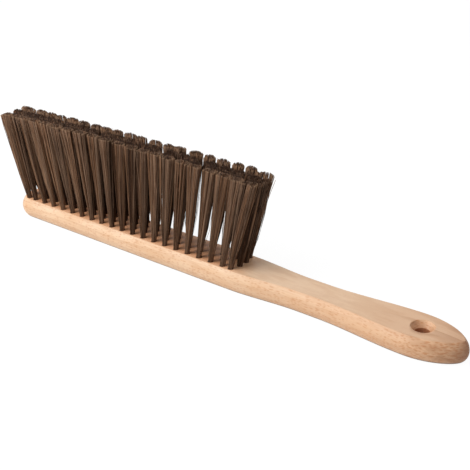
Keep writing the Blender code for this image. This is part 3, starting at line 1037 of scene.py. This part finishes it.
def filament_material():
    made, n, shader = new_material("brown_filament")
    tone = n.between(n.stored("tone"), 0.0, 1.0)
    cool = n.blend(tone, FILAMENT["cool_dark"], FILAMENT["cool_light"])
    warm = n.blend(tone, FILAMENT["warm_dark"], FILAMENT["warm_light"])
    base = n.blend(n.between(n.stored("warmth"), 0.25, 0.9), cool, warm)
    # Painted shade darkens the strands toward the wood, where the tufts shade each other.
    base = n.blend(n.between(n.stored("along"), 0.40, -0.02, 0.0, 0.45), base, FILAMENT["root"])
    streak = n.noise(n.place(), FILAMENT_SCALE)
    base = n.blend(n.between(streak, 0.35, 0.7, 0.0, 0.25), base, FILAMENT["streak"])
    # A painted highlight lightens the outer rows' cut ends at the rim.
    base = n.blend(n.between(n.stored("rim"), 0.90, 1.0, 0.0, 0.60), base, FILAMENT["rim"])
    # Cut ends are darker, partly as the filament's dull ends and partly as painted shade of the
    # dense, shadowed tops.
    base = n.blend(n.times(n.stored("cut_end"), 0.92), base, FILAMENT["cut_end"])
    n.link(base, shader["Base Color"])
    n.link(n.between(streak, 0.2, 0.8, 0.40, 0.58), shader["Roughness"])
    shader["Specular IOR Level"].default_value = FILAMENT_SPECULAR
    return made


def steel_material():
    made, n, shader = new_material("drawn_steel")
    shader["Metallic"].default_value = 1.0
    lines = n.noise(n.place(), STEEL_SCALE, detail=3.0)
    n.link(n.blend(lines, STEEL_DARK, STEEL_LIGHT), shader["Base Color"])
    n.link(n.between(lines, 0.3, 0.7, 0.24, 0.42), shader["Roughness"])
    return made


# Floor, light and camera.


def grey(value):
    return (value, value, value, 1.0)


def floor_material():
    """White to the camera, with a soft shadow, and a plain white surface to everything else."""
    made = bpy.data.materials.new("floor_white")
    made.use_nodes = True
    n = Nodes(made.node_tree)
    made.node_tree.nodes.clear()
    matte = n.add("ShaderNodeBsdfDiffuse")
    matte.inputs["Color"].default_value = grey(FLOOR_GREY)
    faint = n.add("ShaderNodeBsdfDiffuse")
    faint.inputs["Color"].default_value = grey(FLOOR_SEEN_GREY)
    glow = n.add("ShaderNodeEmission")
    glow.inputs["Color"].default_value = grey(1.0)
    glow.inputs["Strength"].default_value = FLOOR_GLOW
    seen = n.add("ShaderNodeAddShader")
    n.link(faint.outputs[0], seen.inputs[0])
    n.link(glow.outputs[0], seen.inputs[1])
    choice = n.add("ShaderNodeMixShader")
    n.link(n.seen_directly(), choice.inputs["Fac"])
    n.link(matte.outputs[0], choice.inputs[1])
    n.link(seen.outputs[0], choice.inputs[2])
    n.link(choice.outputs[0], n.add("ShaderNodeOutputMaterial").inputs["Surface"])
    return made


def make_floor():
    deselect_all()
    bpy.ops.mesh.primitive_plane_add(size=FLOOR_SIZE, location=(0.0, 0.0, -FLOOR_DROP))
    floor = bpy.context.object
    floor.name = "floor"
    floor.data.materials.append(floor_material())


def make_world():
    """A white sky that gives less light than the camera sees of it."""
    world = bpy.data.worlds.new("studio")
    bpy.context.scene.world = world
    world.use_nodes = True
    n = Nodes(world.node_tree)
    world.node_tree.nodes.clear()
    sky = n.add("ShaderNodeBackground")
    sky.inputs["Color"].default_value = grey(1.0)
    n.link(n.between(n.seen_directly(), 0.0, 1.0, SKY_STRENGTH, 1.0), sky.inputs["Strength"])
    n.link(sky.outputs[0], n.add("ShaderNodeOutputWorld").inputs["Surface"])


def aim(piece, place, target):
    """Put a lamp or camera in its place, turned to its target, and into the scene."""
    piece.location = place
    piece.rotation_euler = (target - place).to_track_quat("-Z", "Y").to_euler()
    bpy.context.scene.collection.objects.link(piece)


def make_lamp():
    data = bpy.data.lights.new("key", "AREA")
    data.shape = "DISK"
    data.size = LAMP_SIZE
    data.energy = LAMP_POWER
    aim(bpy.data.objects.new("key", data), LAMP_PLACE, LAMP_TARGET)


def make_camera():
    data = bpy.data.cameras.new("camera")
    data.lens = CAMERA_LENS
    data.sensor_width = CAMERA_SENSOR
    camera = bpy.data.objects.new("camera", data)
    aim(camera, CAMERA_PLACE, CAMERA_TARGET)
    bpy.context.scene.camera = camera


# The anchors, and the whole scene.


def dress_anchors(steel):
    """The anchors keep their solids and get drawn steel."""
    for name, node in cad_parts.items():
        if name.startswith("anchor_wire"):
            node.data.materials.clear()
            node.data.materials.append(steel)


def build():
    make_camera()
    make_world()
    make_lamp()
    make_floor()
    ranks = tuft_ranks()
    make_stock(ranks, beech_material())
    make_bristles(ranks, filament_material())
    dress_anchors(steel_material())
    bpy.context.scene.view_settings.view_transform = "Standard"


build()
